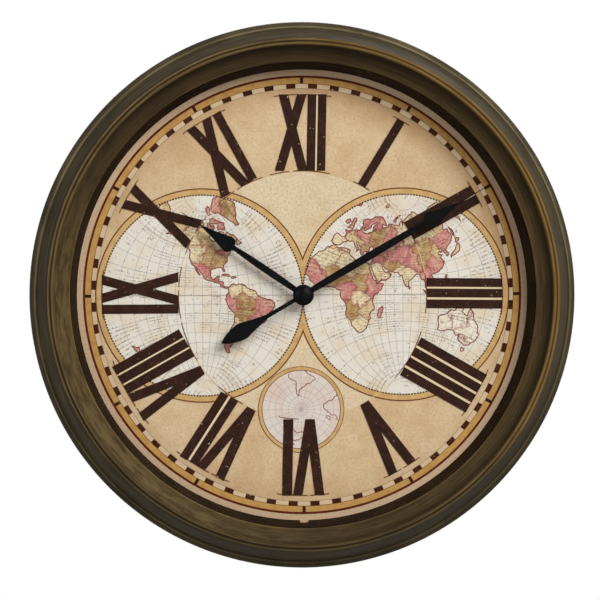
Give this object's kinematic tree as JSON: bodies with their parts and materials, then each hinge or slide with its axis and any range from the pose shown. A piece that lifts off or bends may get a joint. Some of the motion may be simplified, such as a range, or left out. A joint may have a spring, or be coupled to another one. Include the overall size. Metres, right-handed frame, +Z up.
{
  "type": "wall clock",
  "caption": "Round battery wall clock: bronze-finish moulded frame, flat glass, printed map dial, spade hands and a quartz movement behind; hangs from a keyhole plate.",
  "frame": {"origin": "on the hand axis, in the wall plane that the rear rim of the case band lies on", "axes": "+Z up, +Y into the wall, the dial faces -Y, +X to the right as seen by a viewer of the dial"},
  "size_m": [0.508, 0.0599, 0.508],
  "materials": {
    "bronze_frame": "antique bronze paint, gold rubbed on the raised edges",
    "dark_spacer": "dark bronze paint",
    "clear_glass": "clear float glass",
    "printed_paper": "printed parchment-coloured paper",
    "hardboard": "brown hardboard",
    "zinc_steel": "zinc-plated steel",
    "black_case": "moulded black plastic",
    "gear_plastic": "natural acetal",
    "turned_brass": "turned brass",
    "black_hands": "satin black paint on sheet aluminium",
    "black_cap": "satin black moulding",
    "cell_sleeve": "plain dark sleeve over a steel can",
    "circuit_laminate": "green laminate",
    "copper_wire": "enamelled copper wire",
    "soft_rubber": "black rubber sheet",
    "motor_iron": "plain motor iron"
  },
  "bodies": {
    "root": {"frame": "bronze_frame", "case_band": "bronze_frame", "glass": "clear_glass", "spacer_ring": "dark_spacer", "dial_sheet": "printed_paper", "dial_board": "hardboard", "board_screws": "zinc_steel", "hanger_plate": "zinc_steel", "hanger_screws": "zinc_steel", "rubber_gasket": "soft_rubber", "mounting_washer": "turned_brass", "mounting_nut": "turned_brass", "movement_front_case": "black_case", "movement_rear_case": "black_case", "train_plate": "gear_plastic", "contact_positive": "zinc_steel", "contact_negative": "zinc_steel", "circuit_board": "circuit_laminate", "quartz_crystal": "zinc_steel", "stator": "motor_iron", "coil_core": "motor_iron", "coil_bobbin": "gear_plastic", "coil_winding": "copper_wire"},
    "minute_group": {"cannon_pinion": "turned_brass", "minute_hand_collet": "turned_brass", "minute_hand": "black_hands", "hand_nut": "turned_brass", "dome_cap": "black_cap"},
    "hour_group": {"hour_wheel": "gear_plastic", "hour_hand_collet": "turned_brass", "hour_hand": "black_hands"},
    "setting_group": {"minute_wheel": "gear_plastic", "set_knob": "black_case"},
    "rotor_group": {"rotor": "motor_iron"},
    "intermediate_group": {"intermediate_wheel": "gear_plastic"},
    "seconds_group": {"seconds_wheel": "gear_plastic"},
    "third_group": {"third_wheel": "gear_plastic"},
    "center_group": {"center_wheel": "gear_plastic"},
    "battery_group": {"battery": "cell_sleeve"}
  },
  "joints": [
    {"name": "minute_turn", "type": "hinge", "parent": "root", "child": "minute_group", "pos_m": [0, 0, 0], "axis": [0, 1, 0], "continuous": true},
    {"name": "hour_turn", "type": "hinge", "parent": "root", "child": "hour_group", "pos_m": [0, 0, 0], "axis": [0, 1, 0], "continuous": true},
    {"name": "setting_turn", "type": "hinge", "parent": "root", "child": "setting_group", "pos_m": [0, 0, 0.01], "axis": [0, 1, 0], "continuous": true},
    {"name": "seconds_turn", "type": "hinge", "parent": "root", "child": "seconds_group", "pos_m": [0, 0, 0], "axis": [0, 1, 0], "continuous": true},
    {"name": "rotor_turn", "type": "hinge", "parent": "root", "child": "rotor_group", "pos_m": [0.01505, 0, 0.00238], "axis": [0, 1, 0], "continuous": true},
    {"name": "intermediate_turn", "type": "hinge", "parent": "root", "child": "intermediate_group", "pos_m": [0.00889, 0, 0.00238], "axis": [0, 1, 0], "continuous": true},
    {"name": "third_turn", "type": "hinge", "parent": "root", "child": "third_group", "pos_m": [-0.009, 0, 0], "axis": [0, 1, 0], "continuous": true},
    {"name": "center_turn", "type": "hinge", "parent": "root", "child": "center_group", "pos_m": [0, 0, 0], "axis": [0, 1, 0], "continuous": true},
    {"name": "battery_lift", "type": "slide", "parent": "root", "child": "battery_group", "axis": [0, 1, 0], "range_m": [0, 0.022]}
  ],
  "couplings": [
    {"joint": "hour_turn", "follows": "minute_turn", "ratio": 0.083333},
    {"joint": "setting_turn", "follows": "minute_turn", "ratio": -0.33333},
    {"joint": "rotor_turn", "follows": "seconds_turn", "ratio": 30},
    {"joint": "intermediate_turn", "follows": "seconds_turn", "ratio": -5},
    {"joint": "third_turn", "follows": "seconds_turn", "ratio": -0.13333},
    {"joint": "center_turn", "follows": "seconds_turn", "ratio": 0.016667}
  ]
}
